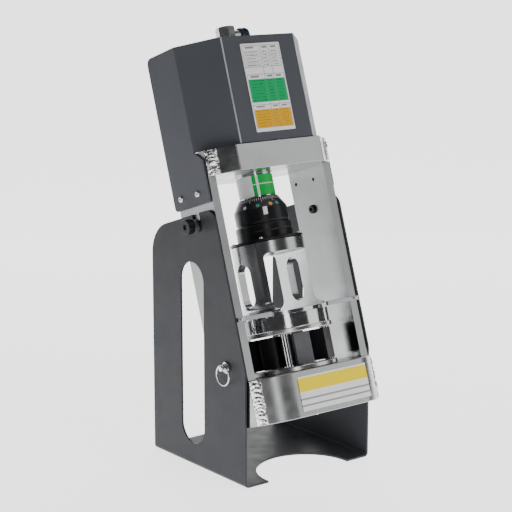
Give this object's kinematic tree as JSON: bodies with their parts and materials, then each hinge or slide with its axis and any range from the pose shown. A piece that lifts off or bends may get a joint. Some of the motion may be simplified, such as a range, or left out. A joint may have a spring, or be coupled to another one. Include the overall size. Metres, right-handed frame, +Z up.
{
  "type": "hydraulic hose crimping press",
  "caption": "Bench hose crimping press: tilted steel frame with covered cylinder, ram, slotted pusher and die cage, hung in a folded sheet stand with pull-ring detents.",
  "frame": {"origin": "on the floor, under the middle of the whole press", "axes": "+Z up, +Y towards the back, -Y is the open front where the dies are reached, X across the press"},
  "size_m": [0.257, 0.2722, 0.5954],
  "materials": {
    "powder_coat": "semi-gloss charcoal powder coat",
    "frame_steel": "bright zinc plate over milled steel",
    "weld_metal": "bright plated weld bead",
    "black_oxide": "black oxide, slightly oiled",
    "black_hardware": "satin black",
    "machined_steel": "turned and milled, bright",
    "hard_chrome": "polished",
    "cage_steel": "bright turned plate",
    "bright_hardware": "bright nickel",
    "zinc_hardware": "bright zinc",
    "zinc_strip": "bright zinc strip",
    "label": "plain printed film with no lettering",
    "scale_sleeve": "white and green plain sleeve",
    "cylinder_paint": "satin black enamel",
    "zinc_fitting": "zinc plated",
    "coupler_blue": "dark blue anodised"
  },
  "bodies": {
    "stand": {"stand": "powder_coat", "detent_barrel_left": "zinc_hardware", "detent_barrel_right": "zinc_hardware"},
    "frame": {"side_plate_left": "frame_steel", "side_plate_right": "frame_steel", "top_block": "frame_steel", "bottom_block": "frame_steel", "weld_top_left": "weld_metal", "weld_top_right": "weld_metal", "weld_bottom_left": "weld_metal", "weld_bottom_right": "weld_metal", "locating_arm_left": "zinc_strip", "locating_arm_right": "zinc_strip", "arm_screw_left": "bright_hardware", "arm_screw_right": "bright_hardware", "pivot_stud_left": "black_hardware", "pivot_stud_right": "black_hardware", "cover": "powder_coat", "cover_screw_1": "bright_hardware", "cover_screw_2": "bright_hardware", "cover_screw_3": "bright_hardware", "cover_screw_4": "bright_hardware", "chart_plate": "label", "front_label": "label", "cylinder": "cylinder_paint", "port_elbow": "zinc_fitting", "coupler": "coupler_blue"},
    "ram": {"ram": "hard_chrome", "scale_band": "scale_sleeve", "ring_collar": "black_oxide", "pusher_flange": "black_oxide", "flange_screw_1": "bright_hardware", "flange_screw_2": "bright_hardware", "flange_screw_3": "bright_hardware", "flange_screw_4": "bright_hardware", "pusher": "machined_steel", "pressure_ring": "machined_steel"},
    "adjusting_ring": {"adjusting_ring": "black_oxide", "index_tab": "label"},
    "die_cage": {"cage_bottom_plate": "cage_steel", "cage_top_plate": "cage_steel", "cage_post_1": "hard_chrome", "cage_post_2": "hard_chrome", "cage_post_3": "hard_chrome", "cage_post_4": "hard_chrome", "cage_latch": "cage_steel"},
    "die_1": {"die_1": "black_oxide"},
    "die_2": {"die_2": "black_oxide"},
    "die_3": {"die_3": "black_oxide"},
    "die_4": {"die_4": "black_oxide"},
    "die_5": {"die_5": "black_oxide"},
    "die_6": {"die_6": "black_oxide"},
    "die_7": {"die_7": "black_oxide"},
    "die_8": {"die_8": "black_oxide"},
    "knob_left": {"pivot_knob_left": "black_hardware"},
    "detent_pin_left": {"detent_pin_left": "bright_hardware"},
    "pull_ring_left": {"pull_ring_left": "bright_hardware"},
    "knob_right": {"pivot_knob_right": "black_hardware"},
    "detent_pin_right": {"detent_pin_right": "bright_hardware"},
    "pull_ring_right": {"pull_ring_right": "bright_hardware"}
  },
  "joints": [
    {"name": "frame_tilt", "type": "hinge", "parent": "stand", "child": "frame", "pos_m": [0, 0.01993, 0.33873], "axis": [1, 0, 0], "range_deg": [-10, 12]},
    {"name": "ram_slide", "type": "slide", "parent": "frame", "child": "ram", "axis": [0, -0.314, -0.9494], "range_m": [0, 0.012], "stiffness_N_per_m": 3000, "springref_m": -0.04},
    {"name": "adjusting_ring_turn", "type": "hinge", "parent": "ram", "child": "adjusting_ring", "pos_m": [0, 0.01993, 0.33873], "axis": [0, 0.314, 0.9494], "continuous": true},
    {"name": "die_cage_slide", "type": "slide", "parent": "frame", "child": "die_cage", "axis": [0, -0.314, -0.9494], "range_m": [0, 0.012]},
    {"name": "die_1_slide", "type": "slide", "parent": "die_cage", "child": "die_1", "axis": [0.2874, 0.9094, -0.3007], "range_m": [0, 0.005]},
    {"name": "die_2_slide", "type": "slide", "parent": "die_cage", "child": "die_2", "axis": [0.8805, 0.4501, -0.1489], "range_m": [0, 0.005]},
    {"name": "die_3_slide", "type": "slide", "parent": "die_cage", "child": "die_3", "axis": [0.9578, -0.2728, 0.0902], "range_m": [0, 0.005]},
    {"name": "die_4_slide", "type": "slide", "parent": "die_cage", "child": "die_4", "axis": [0.4741, -0.8359, 0.2765], "range_m": [0, 0.005]},
    {"name": "die_5_slide", "type": "slide", "parent": "die_cage", "child": "die_5", "axis": [-0.2874, -0.9094, 0.3007], "range_m": [0, 0.005]},
    {"name": "die_6_slide", "type": "slide", "parent": "die_cage", "child": "die_6", "axis": [-0.8805, -0.4501, 0.1489], "range_m": [0, 0.005]},
    {"name": "die_7_slide", "type": "slide", "parent": "die_cage", "child": "die_7", "axis": [-0.9578, 0.2728, -0.0902], "range_m": [0, 0.005]},
    {"name": "die_8_slide", "type": "slide", "parent": "die_cage", "child": "die_8", "axis": [-0.4741, 0.8359, -0.2765], "range_m": [0, 0.005]},
    {"name": "knob_left_turn", "type": "hinge", "parent": "frame", "child": "knob_left", "pos_m": [-0.116, 0.01993, 0.33873], "axis": [-1, 0, 0], "continuous": true},
    {"name": "knob_right_turn", "type": "hinge", "parent": "frame", "child": "knob_right", "pos_m": [0.116, 0.01993, 0.33873], "axis": [1, 0, 0], "continuous": true},
    {"name": "detent_pin_left_pull", "type": "slide", "parent": "stand", "child": "detent_pin_left", "axis": [-1, 0, 0], "range_m": [0, 0.008], "stiffness_N_per_m": 1500, "springref_m": -0.008},
    {"name": "pull_ring_left_swing", "type": "hinge", "parent": "detent_pin_left", "child": "pull_ring_left", "pos_m": [-0.1148, -0.04422, 0.1612], "axis": [0, 1, 0], "range_deg": [-8, 80]},
    {"name": "detent_pin_right_pull", "type": "slide", "parent": "stand", "child": "detent_pin_right", "axis": [1, 0, 0], "range_m": [0, 0.008], "stiffness_N_per_m": 1500, "springref_m": -0.008},
    {"name": "pull_ring_right_swing", "type": "hinge", "parent": "detent_pin_right", "child": "pull_ring_right", "pos_m": [0.1148, -0.04422, 0.1612], "axis": [0, -1, 0], "range_deg": [-8, 80]}
  ],
  "couplings": [
    {"joint": "die_cage_slide", "follows": "ram_slide", "ratio": 1},
    {"joint": "die_1_slide", "follows": "ram_slide", "ratio": 0.41667},
    {"joint": "die_2_slide", "follows": "ram_slide", "ratio": 0.41667},
    {"joint": "die_3_slide", "follows": "ram_slide", "ratio": 0.41667},
    {"joint": "die_4_slide", "follows": "ram_slide", "ratio": 0.41667},
    {"joint": "die_5_slide", "follows": "ram_slide", "ratio": 0.41667},
    {"joint": "die_6_slide", "follows": "ram_slide", "ratio": 0.41667},
    {"joint": "die_7_slide", "follows": "ram_slide", "ratio": 0.41667},
    {"joint": "die_8_slide", "follows": "ram_slide", "ratio": 0.41667}
  ]
}
